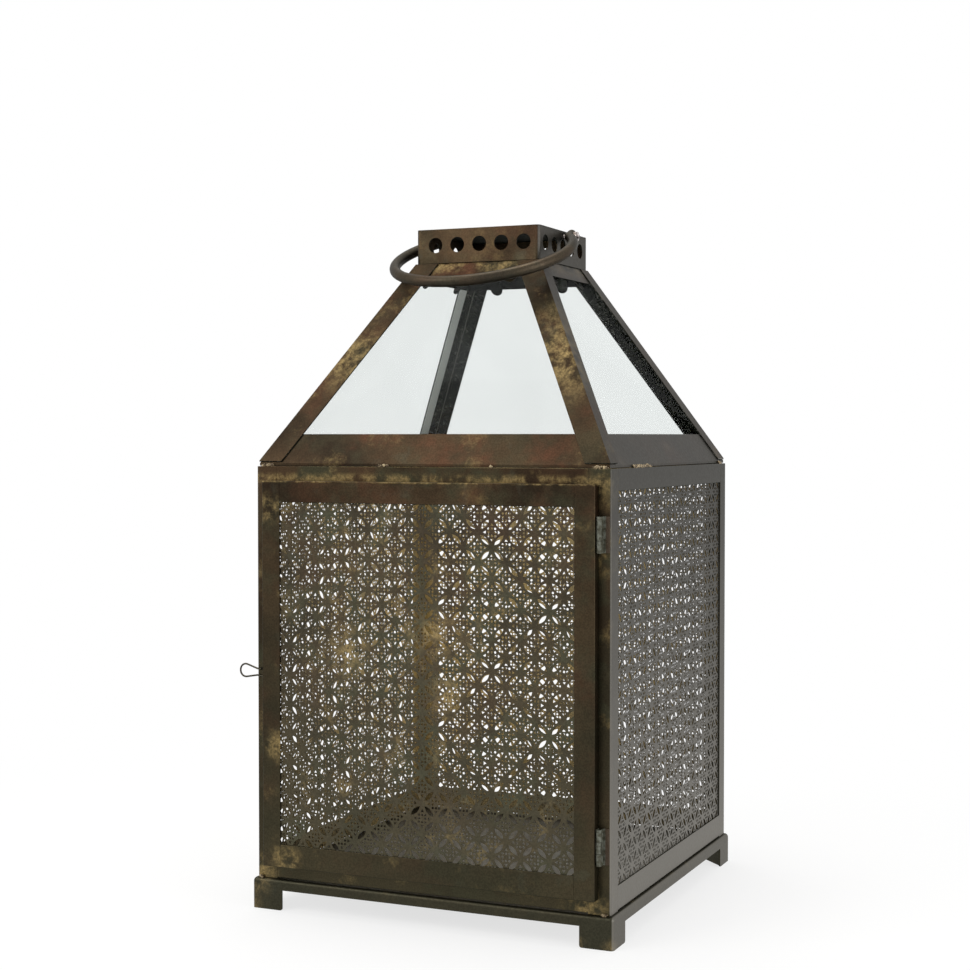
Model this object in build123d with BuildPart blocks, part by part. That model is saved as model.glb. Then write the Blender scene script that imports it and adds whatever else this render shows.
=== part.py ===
from build123d import *
import math
import os

# Punched tin lantern: a square body of perforated sheet in a frame of flat strip and
# angle, with a door in front, under a glazed pyramid roof, a vented collar and a bail.
# Millimetres, +Z up, the door faces -Y. The origin is the middle of the footprint, on
# the surface that the four feet stand on.

# Sheet and strip
sheet = 1.2
panel_sheet = 0.8
overrun = 2.0
running_gap = 0.06
swing_gap = 0.3

# Base tray, one sheet with its edges bent down and its corners left long as feet, each
# closed by a brace across its corner
tray_proud = 3.0
tray_bend = 3.0
tray_corner = 2.4
foot_height = 15.0
foot_width = 25.0
foot_round = 1.8
apron_height = 8.0

# Body frame
body_side = 280.0
body_height = 306.6
body_lift = 1.0
post_front_leg = 16.5
post_side_leg = 15.0
post_bend = 1.6
rail_top_height = 15.5
rail_bottom_height = 17.0
panel_head_gap = 1.0

# Perforation: lens-shaped petals that point from hub to hub of a centred square lattice
pattern_pitch = 21.65
petal_length = 9.6
petal_width = 3.0
side_hub_shift = -4.8

# Door, a shallow tray of angle with a perforated sheet inside it
door_width = 262.0
door_height = 286.0
door_foot = 10.0
door_depth = 8.0
door_back_gap = 0.5
stile_width = 15.0
door_rail_top = 15.6
door_rail_bottom = 16.7

# Hinges, two small butt hinges at the door's right edge, held off the post by a bent leaf
hinge_height = 25.0
hinge_leaf = 0.8
hinge_pin_radius = 0.9
hinge_knuckle_radius = 1.8
hinge_knuckle_gap = 0.25
hinge_centres = (37.0, 251.6)
hinge_reach = 5.5
hinge_foot = 4.0
door_leaf_share = 0.8
knuckle_share = 1 / 3

# Wire latch: one wire, hooked through the left post, bent to a loop and a tail
wire_radius = 0.65
latch_height = 155.5
latch_inset = 3.7
latch_reach = 17.8
latch_loop_rise = 4.8
latch_loop_drop = 7.4
latch_loop_bend = 4.6
latch_neck_reach = 3.2
latch_neck_drop = 4.9
latch_tail_drop = 6.1
latch_tail_bend = 1.5
latch_hook_behind = 1.6
latch_hook_bend = 0.9
latch_tail_gap = 0.45

# Roof
roof_gap = 0.4
roof_lip = 2.0
eave_half = 138.4
roof_top_half = 50.0
roof_rise = 152.0
skirt_width = 25.0
skirt_flange = 8.0
top_strip_width = 13.5
top_ledge = 7.0
hip_width = 17.0
hip_side_width = 14.0
hip_foot_gap = 1.0

# Glass and the bent clips that hold it
glass = 2.5
glass_foot = 13.0
glass_head_gap = 5.5
glass_side_inset = 6.0
clip_sheet = 0.8
clip_width = 10.0
clip_clear = 0.3
clip_foot = 3.6
clip_tongue_low = 7.0
clip_tongue_high = 11.6
low_clip_place = 80.0
high_clip_place = 28.5

# Collar with its vent holes, and its cap
collar_side = 101.6
collar_height = 25.2
collar_corner = 3.0
cap_sheet = 0.8
vent_radius = 5.7
vent_pitch = 18.2
vent_count = 5
vent_height = 13.8
vent_shift = 1.6

# Bail, a bent rod that swings on a stud at each side of the collar
rod_radius = 4.1
bail_tilt = 21.6
bail_radius = 68.6
bail_centre = 41.5
bail_pivot_half = 55.5
bail_blend = 12.0
bail_tip = 7.0
bail_flat = 0.8
bail_flat_length = 4.6
bail_tip_chamfer = 1.4
pivot_drop = 3.6
stud_radius = 1.75
stud_head_radius = 2.8
stud_head = 1.6
stud_end = 1.0
nut_across = 7.0
nut_height = 3.0

# Welds: beads between roof and body, and blobs between body and base
bead_height = 1.8
bead_width = 1.4
bead_length = 11.0
front_bead_shares = ((-0.95, 0.9), (-0.25, 0.8), (0.36, 0.3), (0.95, 1.1))
side_bead_shares = ((-0.52, 3.6), (0.9, 0.8))
blob_radius = 2.3
blob_inset = 4.0

# Levels and faces that follow from the sizes above
half = body_side / 2
tray_half = half + tray_proud
tray_top = foot_height + apron_height
body_foot = tray_top + body_lift
body_top = body_foot + body_height
inner_half = half - sheet
panel_inner = inner_half - panel_sheet
roof_foot = body_top + roof_gap
eave_height = roof_foot + roof_lip
collar_foot = eave_height + roof_rise
wall_top = collar_foot + collar_height
collar_half = collar_side / 2
pivot_height = wall_top - pivot_drop
door_low = body_foot + door_foot
door_back = half + door_back_gap
door_face = door_back + door_depth
door_half = door_width / 2
window_low = door_low + door_rail_bottom
window_high = door_low + door_height - door_rail_top
window_half = door_half - stile_width
window_middle = (window_low + window_high) / 2

roof_angle = math.atan2(roof_rise, eave_half - roof_top_half)
roof_cos = math.cos(roof_angle)
roof_sin = math.sin(roof_angle)
slope_length = roof_rise / roof_sin

SIDES = ("front", "right", "back", "left")


def along(side):
    """The direction along a side, to the right of someone who faces it."""
    turn = math.radians(90 * SIDES.index(side))
    return Vector(math.cos(turn), math.sin(turn), 0)


def outward(side):
    turn = math.radians(90 * SIDES.index(side))
    return Vector(math.sin(turn), -math.cos(turn), 0)


def face_plane(side, distance, height=0.0):
    """An upright plane at a distance from the axis, x along the side and y up."""
    origin = outward(side) * distance + Vector(0, 0, height)
    return Plane(origin=origin, x_dir=along(side), z_dir=outward(side))


def section_plane(side, place=0.0):
    """An upright plane across the side, x outward and y up, at a place along it."""
    normal = outward(side).cross(Vector(0, 0, 1))
    return Plane(origin=along(side) * place, x_dir=outward(side), z_dir=normal)


def slope_point(up, depth):
    """Distance out and height of a point of the roof, up the slope and in from it."""
    return (
        eave_half - up * roof_cos - depth * roof_sin,
        eave_height + up * roof_sin - depth * roof_cos,
    )


def slope_plane(side, depth):
    """The plane of a roof slope, x along the eave and y up the slope."""
    out, height = slope_point(0, depth)
    normal = outward(side) * roof_sin + Vector(0, 0, 1) * roof_cos
    origin = outward(side) * out + Vector(0, 0, height)
    return Plane(origin=origin, x_dir=along(side), z_dir=normal)


def slope_half(up, depth):
    """Half of the width of a roof slope at a height on it."""
    return slope_point(up, depth)[0]


def finish(part, name):
    part.label = name
    export_step(part, "parts/" + name + ".step")


def box(centre, size):
    """A plain box, for one sheet of a bent piece, inside the piece's own block."""
    with Locations(centre):
        Box(*size)


os.makedirs("parts", exist_ok=True)

# Base tray
with BuildPart() as base_tray:
    with BuildSketch(Plane.XY.offset(foot_height)):
        RectangleRounded(2 * tray_half, 2 * tray_half, tray_corner)
    extrude(amount=apron_height)
    rim = base_tray.faces().sort_by(Axis.Z)[-1].edges()
    fillet(rim, radius=tray_bend)
    inner = tray_half - sheet
    with BuildSketch(Plane.XY.offset(foot_height)):
        RectangleRounded(2 * inner, 2 * inner, tray_corner - sheet)
    extrude(amount=apron_height - sheet - tray_bend, mode=Mode.SUBTRACT)
    with BuildSketch(Plane.XY.offset(tray_top - sheet - tray_bend)):
        Rectangle(2 * (tray_half - tray_bend), 2 * (tray_half - tray_bend))
    extrude(amount=tray_bend, mode=Mode.SUBTRACT)
    with BuildSketch(Plane.XY):
        RectangleRounded(2 * tray_half, 2 * tray_half, tray_corner)
        RectangleRounded(2 * inner, 2 * inner, tray_corner - sheet, mode=Mode.SUBTRACT)
        between = 2 * (tray_half - foot_width)
        Rectangle(between, 2 * tray_half + overrun, mode=Mode.SUBTRACT)
        Rectangle(2 * tray_half + overrun, between, mode=Mode.SUBTRACT)
    extrude(amount=foot_height)
    toes = base_tray.edges().filter_by_position(Axis.Z, 0, 0).filter_by(GeomType.LINE)
    fillet(toes.filter_by(lambda toe: toe.length < 2 * sheet), radius=foot_round)
    brace = math.sqrt(2) * (2 * tray_half - foot_width + foot_round)
    with BuildSketch(Plane.XY):
        RectangleRounded(2 * inner, 2 * inner, tray_corner - sheet)
        Rectangle(brace + 2 * sheet, brace + 2 * sheet, rotation=45, mode=Mode.INTERSECT)
        Rectangle(brace, brace, rotation=45, mode=Mode.SUBTRACT)
    extrude(amount=foot_height)
finish(base_tray.part, "base_tray")

# Corner posts, of angle, standing on the tray
latch_x = -half + latch_inset
latch_z = body_foot + latch_height
for depth_name, sign_y in (("front", -1), ("back", 1)):
    for width_name, sign_x in (("left", -1), ("right", 1)):
        corner = (sign_x * half, sign_y * half)
        front_leg = (corner[0] - sign_x * post_front_leg / 2, corner[1] - sign_y * sheet / 2)
        side_leg = (corner[0] - sign_x * sheet / 2, corner[1] - sign_y * post_side_leg / 2)
        with BuildPart() as post:
            with BuildSketch(Plane.XY.offset(tray_top)):
                with Locations(front_leg):
                    Rectangle(post_front_leg, sheet)
                with Locations(side_leg):
                    Rectangle(sheet, post_side_leg)
            extrude(amount=body_top - tray_top)
            bend = post.edges().filter_by(Axis.Z).sort_by_distance((*corner, body_top / 2))[0]
            fillet(bend, radius=post_bend)
            if (depth_name, width_name) == ("front", "left"):
                with BuildSketch(face_plane("front", half)):
                    with Locations((latch_x, latch_z)):
                        Circle(wire_radius + running_gap)
                extrude(amount=-sheet - overrun, mode=Mode.SUBTRACT)
        finish(post.part, "post_" + depth_name + "_" + width_name)

# Rails of flat strip between the posts
rail_levels = {
    "top": (body_top - rail_top_height, body_top),
    "bottom": (body_foot, body_foot + rail_bottom_height),
}
for side in SIDES:
    leg = post_front_leg if side in ("front", "back") else post_side_leg
    for level, (low, high) in rail_levels.items():
        with BuildPart() as rail:
            with BuildSketch(face_plane(side, half)):
                with Locations((0, (low + high) / 2)):
                    Rectangle(2 * (half - leg), high - low)
            extrude(amount=-sheet)
        finish(rail.part, "rail_" + side + "_" + level)


# Perforated sheets
with BuildSketch() as petal:
    with BuildLine():
        ThreePointArc((-petal_length / 2, 0), (0, petal_width / 2), (petal_length / 2, 0))
        ThreePointArc((petal_length / 2, 0), (0, -petal_width / 2), (-petal_length / 2, 0))
    make_face()


def petal_places(half_width, half_height, shift):
    """Petal centres of each slant inside a window, from the window's middle.

    A petal at the window's edge runs on behind the strip, as the sheet does.
    """
    step = pattern_pitch / 2
    places = {45: [], -45: []}
    columns = int((half_width + abs(shift)) / step) + 1
    rows = int(half_height / step) + 1
    for column in range(-columns, columns):
        for row in range(-rows, rows):
            x = shift + (column + 1 / 2) * step
            y = (row + 1 / 2) * step
            if abs(x) <= half_width and abs(y) <= half_height:
                slant = 45 if (column + row) % 2 == 0 else -45
                places[slant].append((x, y))
    return places


def blank(width, low, high, window_size, shift):
    """The flat of a perforated sheet, its origin at the middle of its window."""
    with BuildSketch() as flat:
        with Locations((0, (low + high) / 2)):
            Rectangle(width, high - low)
        for slant, places in petal_places(*window_size, shift).items():
            with Locations(*places):
                add(petal.sketch, rotation=slant, clean=False, mode=Mode.SUBTRACT)
    return flat.sketch


side_window = (half - post_front_leg, (body_height - rail_top_height - rail_bottom_height) / 2)
side_middle = body_foot + rail_bottom_height + side_window[1]
side_blank = blank(
    2 * panel_inner,
    tray_top - side_middle,
    body_top - panel_head_gap - side_middle,
    side_window,
    side_hub_shift,
)
for side in ("right", "back", "left"):
    with BuildPart() as panel:
        with BuildSketch(face_plane(side, inner_half, side_middle)):
            add(side_blank, clean=False)
        extrude(amount=-panel_sheet, clean=False)
    finish(panel.part, "panel_" + side)

# Door stiles, angle along both upright edges
for name, sign in (("left", -1), ("right", 1)):
    with BuildPart() as stile:
        with BuildSketch(Plane.XY.offset(door_low)):
            with Locations((sign * (door_half - stile_width / 2), -door_face + sheet / 2)):
                Rectangle(stile_width, sheet)
            with Locations((sign * (door_half - sheet / 2), -door_face + door_depth / 2)):
                Rectangle(sheet, door_depth)
        extrude(amount=door_height)
        corner = (sign * door_half, -door_face, door_low + door_height / 2)
        bend = stile.edges().filter_by(Axis.Z).sort_by_distance(corner)[0]
        fillet(bend, radius=sheet)
    finish(stile.part, "door_stile_" + name)

# Door rails, whose flanges reach behind the stiles
door_high = door_low + door_height
door_rails = {
    "top": (window_high, door_high, door_high - sheet / 2),
    "bottom": (door_low, window_low, door_low + sheet / 2),
}
for name, (low, high, flange) in door_rails.items():
    flange_depth = door_depth - sheet
    with BuildPart() as rail:
        box((0, -door_face + sheet / 2, (low + high) / 2), (2 * window_half, sheet, high - low))
        box(
            (0, -door_back - flange_depth / 2, flange),
            (2 * (door_half - sheet), flange_depth, sheet),
        )
    finish(rail.part, "door_rail_" + name)

door_blank = blank(
    2 * (door_half - sheet),
    door_low + sheet - window_middle,
    door_high - sheet - window_middle,
    (window_half, (window_high - window_low) / 2),
    0,
)
with BuildPart() as door_panel:
    with BuildSketch(face_plane("front", door_face - sheet, window_middle)):
        add(door_blank, clean=False)
    extrude(amount=-panel_sheet, clean=False)
finish(door_panel.part, "door_panel")

# Hinges: a fixed leaf on the post, a leaf on the door's edge, and a pin
hinge_x = door_half + hinge_leaf / 2 + hinge_knuckle_radius
hinge_y = -half - hinge_reach
door_leaf_width = hinge_reach * door_leaf_share
knuckle_bore = hinge_pin_radius + running_gap
knuckle = hinge_height * knuckle_share


def knuckles(ranges):
    """The rolled parts of a leaf, each a tube round the pin."""
    for low, high in ranges:
        with BuildSketch(Plane.XY.offset(low)) as roll:
            with Locations((hinge_x, hinge_y)):
                Circle(hinge_knuckle_radius)
        extrude(roll.sketch, amount=high - low)
    with Locations((hinge_x, hinge_y, ranges[0][0] - overrun)):
        Cylinder(
            knuckle_bore,
            ranges[-1][1] - ranges[0][0] + 2 * overrun,
            align=(Align.CENTER, Align.CENTER, Align.MIN),
            mode=Mode.SUBTRACT,
        )


for name, centre in zip(("lower", "upper"), hinge_centres):
    low = door_low + centre - hinge_height / 2
    high = low + hinge_height
    fixed_ranges = ((low, low + knuckle), (high - knuckle, high))
    door_ranges = ((low + knuckle + hinge_knuckle_gap, high - knuckle - hinge_knuckle_gap),)
    with BuildPart() as fixed_leaf:
        leaf_x = hinge_x + hinge_knuckle_radius - hinge_leaf / 2
        box(
            (leaf_x, -half - hinge_reach / 2, (low + high) / 2),
            (hinge_leaf, hinge_reach, hinge_height),
        )
        box(
            (leaf_x + hinge_foot / 2, -half - hinge_leaf / 2, (low + high) / 2),
            (hinge_leaf + hinge_foot, hinge_leaf, hinge_height),
        )
        with BuildSketch(Plane.XY.offset(low + knuckle - hinge_knuckle_gap)):
            with Locations((hinge_x, hinge_y)):
                Circle(hinge_knuckle_radius + swing_gap)
        extrude(amount=knuckle + 2 * hinge_knuckle_gap, mode=Mode.SUBTRACT)
        knuckles(fixed_ranges)
    finish(fixed_leaf.part, "hinge_" + name + "_post_leaf")
    with BuildPart() as door_leaf:
        with BuildSketch(Plane.XY.offset(low)):
            with Locations((door_half + hinge_leaf / 2, hinge_y + door_leaf_width / 2)):
                Rectangle(hinge_leaf, door_leaf_width)
        extrude(amount=hinge_height)
        for clear_low, clear_high in fixed_ranges:
            with BuildSketch(Plane.XY.offset(clear_low - hinge_knuckle_gap)):
                with Locations((hinge_x, hinge_y)):
                    Circle(hinge_knuckle_radius + swing_gap)
            extrude(amount=knuckle + 2 * hinge_knuckle_gap, mode=Mode.SUBTRACT)
        knuckles(door_ranges)
    finish(door_leaf.part, "hinge_" + name + "_door_leaf")

with BuildPart() as hinge_pins:
    for centre in hinge_centres:
        with BuildSketch(Plane.XY.offset(door_low + centre - hinge_height / 2)):
            with Locations((hinge_x, hinge_y)):
                Circle(hinge_pin_radius)
        extrude(amount=hinge_height)
finish(hinge_pins.part, "hinge_pins")

# Wire latch: out through the hole in the post, then round a loop just in front of it
neck_x = latch_x - latch_neck_reach
loop_x = latch_x - latch_reach
wire_y = -half - wire_radius - swing_gap
with BuildPart() as wire_latch:
    with BuildLine() as wire:
        FilletPolyline(
            (latch_x, -inner_half + latch_hook_behind, latch_z),
            (latch_x, wire_y, latch_z),
            (neck_x, wire_y, latch_z),
            (loop_x, wire_y, latch_z + latch_loop_rise),
            (loop_x, wire_y, latch_z - latch_loop_drop),
            (neck_x, wire_y, latch_z - latch_neck_drop),
            (-door_half - latch_tail_gap, wire_y, latch_z - latch_tail_drop),
            radius=(
                latch_hook_bend,
                latch_tail_bend,
                latch_loop_bend,
                latch_loop_bend,
                latch_tail_bend,
            ),
        )
    with BuildSketch(Plane(origin=wire.line @ 0, z_dir=wire.line % 0)):
        Circle(wire_radius)
    sweep()
finish(wire_latch.part, "wire_latch")


def mitred(side, profile):
    """A strip along one side of the roof, mitred where it meets its neighbours."""
    with BuildPart() as strip:
        with BuildSketch(section_plane(side)):
            with BuildLine():
                Polyline(*profile, close=True)
            make_face()
        extrude(amount=body_side, both=True)
        for sign in (-1, 1):
            cut = outward(side) * -1 + along(side) * sign
            split(bisect_by=Plane(origin=(0, 0, 0), z_dir=cut), keep=Keep.BOTTOM)
    return strip.part


skirt_profile = (
    (eave_half, roof_foot),
    (eave_half, eave_height),
    slope_point(skirt_width, 0),
    slope_point(skirt_width, sheet),
    (
        eave_half - sheet,
        eave_height + (sheet - sheet / roof_sin) * math.tan(roof_angle),
    ),
    (eave_half - sheet, roof_foot + sheet),
    (eave_half - skirt_flange, roof_foot + sheet),
    (eave_half - skirt_flange, roof_foot),
)
ledge_inner = roof_top_half + sheet / math.tan(roof_angle) - sheet / roof_sin
top_profile = (
    slope_point(slope_length - top_strip_width, 0),
    (roof_top_half, collar_foot),
    (roof_top_half - top_ledge, collar_foot),
    (roof_top_half - top_ledge, collar_foot - sheet),
    (ledge_inner, collar_foot - sheet),
    slope_point(slope_length - top_strip_width, sheet),
)
for side in SIDES:
    finish(mitred(side, skirt_profile), "roof_skirt_" + side)
    finish(mitred(side, top_profile), "roof_head_" + side)


# Hips, angle over the four ridges
def hip_flange(side, sign):
    """One flange of a hip, from the ridge in along the slope."""
    outside = -sheet
    low = hip_foot_gap
    high = (collar_foot - slope_point(0, outside)[1]) / roof_sin
    width = hip_width if side in ("front", "back") else hip_side_width
    run = width * math.hypot(1, roof_cos)
    with BuildSketch(slope_plane(side, outside)) as flange:
        with BuildLine():
            Polyline(
                (sign * slope_half(low, outside), low),
                (sign * slope_half(high, outside), high),
                (sign * (slope_half(high, outside) - run), high),
                (sign * (slope_half(low, outside) - run), low),
                close=True,
            )
        make_face()
    extrude(flange.sketch, amount=-sheet)


hip_names = ("front_right", "back_right", "back_left", "front_left")
for index, name in enumerate(hip_names):
    with BuildPart() as hip:
        hip_flange(SIDES[index], 1)
        hip_flange(SIDES[(index + 1) % len(SIDES)], -1)
    finish(hip.part, "hip_" + name)

# Glass panes behind the strips
glass_head = slope_length - glass_head_gap
for side in SIDES:
    with BuildPart() as pane:
        low_half = slope_half(glass_foot, sheet) - glass_side_inset
        high_half = slope_half(glass_head, sheet) - glass_side_inset
        with BuildSketch(slope_plane(side, sheet)):
            with BuildLine():
                Polyline(
                    (-low_half, glass_foot),
                    (low_half, glass_foot),
                    (high_half, glass_head),
                    (-high_half, glass_head),
                    close=True,
                )
            make_face()
        extrude(amount=-glass)
    finish(pane.part, "glass_" + side)


def clip(side, place, edge, up, tongue):
    """A clip with its foot on the strip, stepped over the edge of the pane."""
    inside = sheet + glass
    foot_end = edge - up * (clip_clear + clip_foot)
    riser = edge - up * clip_clear
    points = (
        slope_point(foot_end, sheet),
        slope_point(riser, sheet),
        slope_point(riser, inside + clip_sheet),
        slope_point(riser - up * clip_sheet, inside + clip_sheet),
        slope_point(riser - up * clip_sheet, sheet + clip_sheet),
        slope_point(foot_end, sheet + clip_sheet),
    )
    with BuildSketch(section_plane(side, place)) as step:
        with BuildLine():
            Polyline(*points, close=True)
        make_face()
    extrude(step.sketch, amount=clip_width / 2, both=True)
    straight = tongue - clip_width / 2 + clip_clear
    with BuildSketch(slope_plane(side, inside)) as tongue_end:
        with Locations((place, riser + up * straight / 2)):
            Rectangle(clip_width, straight)
        with Locations((place, riser + up * straight)):
            Circle(clip_width / 2)
    extrude(tongue_end.sketch, amount=-clip_sheet)


with BuildPart() as glass_clips:
    for side in SIDES:
        for sign in (-1, 1):
            clip(side, sign * low_clip_place, glass_foot, 1, clip_tongue_low)
            clip(side, sign * high_clip_place, glass_head, -1, clip_tongue_high)
finish(glass_clips.part, "glass_clips")

# Collar, a square tube with vent holes, seated on the ledges of the roof's head
with BuildPart() as collar:
    with BuildSketch(Plane.XY.offset(collar_foot)):
        RectangleRounded(collar_side, collar_side, collar_corner)
        inner_side = collar_side - 2 * sheet
        RectangleRounded(inner_side, inner_side, collar_corner - sheet, mode=Mode.SUBTRACT)
    extrude(amount=collar_height)
    for side in SIDES:
        shift = vent_shift if side in ("front", "back") else -vent_shift
        with BuildSketch(face_plane(side, collar_half)):
            with Locations((shift, collar_foot + vent_height)):
                with GridLocations(vent_pitch, 0, vent_count, 1):
                    Circle(vent_radius)
            if side in ("left", "right"):
                with Locations((0, pivot_height)):
                    Circle(stud_radius)
        extrude(amount=-sheet - overrun, mode=Mode.SUBTRACT)
finish(collar.part, "collar")

with BuildPart() as collar_cap:
    with BuildSketch(Plane.XY.offset(wall_top)):
        RectangleRounded(collar_side, collar_side, collar_corner)
    extrude(amount=cap_sheet)
finish(collar_cap.part, "collar_cap")

# Bail: half of its line is a short straight end, a blend and a quarter of the main arc
tilt = math.radians(bail_tilt)
bail_plane = Plane(
    origin=(0, 0, pivot_height),
    x_dir=(1, 0, 0),
    z_dir=(0, math.sin(tilt), -math.cos(tilt)),
)
blend_drop = math.sqrt(
    (bail_radius - bail_pivot_half) * (bail_radius + bail_pivot_half + 2 * bail_blend)
)
blend_start = bail_centre - blend_drop
blend_end_x = bail_radius * (bail_pivot_half + bail_blend) / (bail_radius + bail_blend)
blend_end_y = bail_centre - bail_radius * blend_drop / (bail_radius + bail_blend)
with BuildPart() as bail:
    with BuildLine(bail_plane) as bail_line:
        end = Line((-bail_pivot_half, -bail_tip), (-bail_pivot_half, blend_start))
        blend = TangentArc(end @ 1, (-blend_end_x, blend_end_y), tangent=end % 1)
        arc = ThreePointArc(
            blend @ 1,
            (0, bail_centre + bail_radius),
            (blend_end_x, blend_end_y),
        )
        blend = TangentArc(arc @ 1, (bail_pivot_half, blend_start), tangent=arc % 1)
        Line(blend @ 1, (bail_pivot_half, -bail_tip))
    with BuildSketch(Plane(origin=bail_line.line @ 0, z_dir=bail_line.line % 0)):
        Circle(rod_radius)
    sweep()
    tips = bail.edges().filter_by(GeomType.CIRCLE).group_by(Axis.Z)[-1]
    chamfer(tips, length=bail_tip_chamfer)
    for sign in (-1, 1):
        with BuildSketch(bail_plane.offset(-2 * rod_radius)):
            flat_x = bail_pivot_half + rod_radius - bail_flat
            with Locations((sign * (flat_x + rod_radius), (bail_flat_length - bail_tip) / 2)):
                Rectangle(2 * rod_radius, bail_flat_length + bail_tip)
        extrude(amount=4 * rod_radius, mode=Mode.SUBTRACT)
    with BuildSketch(Plane.YZ):
        with Locations((0, pivot_height)):
            Circle(stud_radius + running_gap)
    extrude(amount=2 * bail_pivot_half, both=True, mode=Mode.SUBTRACT)
finish(bail.part, "bail")

# Pivot studs with their heads inside the collar, and nuts outside the bail
nut_seat = bail_pivot_half + rod_radius - bail_flat + swing_gap
with BuildPart() as bail_studs:
    for side in ("left", "right"):
        with BuildSketch(face_plane(side, collar_half - sheet)):
            with Locations((0, pivot_height)):
                Circle(stud_radius)
        extrude(amount=nut_seat + nut_height + stud_end - collar_half + sheet)
        with BuildSketch(face_plane(side, collar_half - sheet)):
            with Locations((0, pivot_height)):
                Circle(stud_head_radius)
        extrude(amount=-stud_head)
finish(bail_studs.part, "bail_studs")

with BuildPart() as bail_nuts:
    for side in ("left", "right"):
        with BuildSketch(face_plane(side, nut_seat)):
            with Locations((0, pivot_height)):
                RegularPolygon(nut_across / 2, 6, major_radius=False)
                Circle(stud_radius, mode=Mode.SUBTRACT)
        extrude(amount=nut_height)
finish(bail_nuts.part, "bail_nuts")

# Weld beads from the roof's lip down to the top of the body
with BuildPart() as roof_welds:
    for side in SIDES:
        shares = front_bead_shares if side in ("front", "back") else side_bead_shares
        for place_share, length_share in shares:
            with BuildSketch(section_plane(side, place_share * eave_half)):
                with BuildLine():
                    Polyline(
                        (eave_half + bead_width, body_top),
                        (eave_half, body_top),
                        (eave_half, body_top + bead_height),
                    )
                    ThreePointArc(
                        (eave_half, body_top + bead_height),
                        (eave_half + bead_width * 0.8, body_top + bead_height * 0.6),
                        (eave_half + bead_width, body_top),
                    )
                make_face()
            extrude(amount=length_share * bead_length / 2, both=True)
finish(roof_welds.part, "roof_welds")

# Weld blobs between the posts and the base tray
with BuildPart() as base_welds:
    for sign_x in (-1, 1):
        for sign_y in (-1, 1):
            centre = (sign_x * (half - blob_inset), sign_y * half, tray_top)
            with Locations(centre):
                Sphere(blob_radius)
    span = body_side + blob_radius + overrun
    with Locations((0, 0, tray_top)):
        Box(span, body_side, span, mode=Mode.SUBTRACT)
        lower = (Align.CENTER, Align.CENTER, Align.MAX)
        Box(span, span, span, align=lower, mode=Mode.SUBTRACT)
finish(base_welds.part, "base_welds")
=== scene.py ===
"""Looks for the punched tin lantern: pierced sheets, bronze patina, glass, welds and stage.

Metres, +Z up, the door faces -Y, and the origin is the middle of the footprint.
"""

import math

import bmesh
import bpy
from bpy.props import FloatProperty, FloatVectorProperty, IntProperty, PointerProperty
from mathutils import Euler, Matrix, Vector


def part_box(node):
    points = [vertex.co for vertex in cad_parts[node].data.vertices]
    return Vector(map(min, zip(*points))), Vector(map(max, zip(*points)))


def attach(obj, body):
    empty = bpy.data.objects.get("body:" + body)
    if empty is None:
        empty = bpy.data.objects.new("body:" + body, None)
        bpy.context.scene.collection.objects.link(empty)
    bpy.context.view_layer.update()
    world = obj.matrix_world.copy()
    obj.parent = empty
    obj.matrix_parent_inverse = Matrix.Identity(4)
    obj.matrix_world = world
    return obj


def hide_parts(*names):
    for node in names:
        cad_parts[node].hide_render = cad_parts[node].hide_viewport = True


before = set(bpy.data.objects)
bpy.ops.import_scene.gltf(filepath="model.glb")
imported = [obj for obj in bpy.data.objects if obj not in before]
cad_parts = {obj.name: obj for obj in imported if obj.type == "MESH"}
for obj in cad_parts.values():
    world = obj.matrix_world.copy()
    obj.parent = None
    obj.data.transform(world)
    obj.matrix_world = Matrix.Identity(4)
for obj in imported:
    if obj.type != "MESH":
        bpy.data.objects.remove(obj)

bl_info = {
    "name": "Punched tin lantern",
    "version": (1, 0, 0),
    "blender": (4, 5, 0),
    "location": "View3D > Sidebar > Lantern",
    "description": "Pierced sheets, patina, glass, welds and stage for the lantern",
    "category": "Object",
}

MM = 0.001
QUARTER = math.pi / 2
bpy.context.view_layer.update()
SIDES = ("front", "right", "back", "left")
CORNERS = ("front_left", "front_right", "back_left", "back_right")

# Points closer together than these are one: in a mesh, in a CAD solid and at a cut
SAME_POINT = 0.01 * MM
SAME_CAD_POINT = 0.005 * MM
ON_CUT = 0.001 * MM


def colour(name, description, default):
    """A colour that a user may change."""
    return FloatVectorProperty(
        name=name,
        description=description,
        subtype="COLOR",
        size=3,
        min=0.0,
        max=1.0,
        default=default,
    )


def length(name, description, default):
    """A length in metres that a user may change."""
    return FloatProperty(
        name=name,
        description=description,
        unit="LENGTH",
        precision=5,
        min=0.0,
        default=default,
    )


def power(name, description, default):
    """A lamp's power that a user may change."""
    return FloatProperty(name=name, description=description, unit="POWER", default=default)


class PunchSettings(bpy.types.PropertyGroup):
    """Sizes of the piercing."""

    pitch: length("Pitch", "Distance between the star hubs in one row", 21.65 * MM)
    petal_length: length("Petal length", "Length of a petal, tip to tip", 9.9 * MM)
    petal_width: length("Petal width", "Width of a petal at its middle", 3.5 * MM)
    dot_size: length("Dot size", "Width of a round hole", 1.85 * MM)
    dot_spacing: length("Dot spacing", "Distance between the round holes", 2.55 * MM)
    wedge_size: length("Wedge size", "Width of a three-cornered hole", 3.0 * MM)
    wedge_reach: length("Wedge reach", "From the middle of a cluster to a wedge", 5.3 * MM)
    thickness: length("Thickness", "Thickness of the pierced sheet", 0.3 * MM)
    side_shift: length("Side shift", "How far a hub stands from a side's middle", 4.8 * MM)
    petal_steps: IntProperty(
        name="Petal steps",
        description="Points along one edge of a petal",
        min=3,
        max=16,
        default=6,
    )


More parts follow.
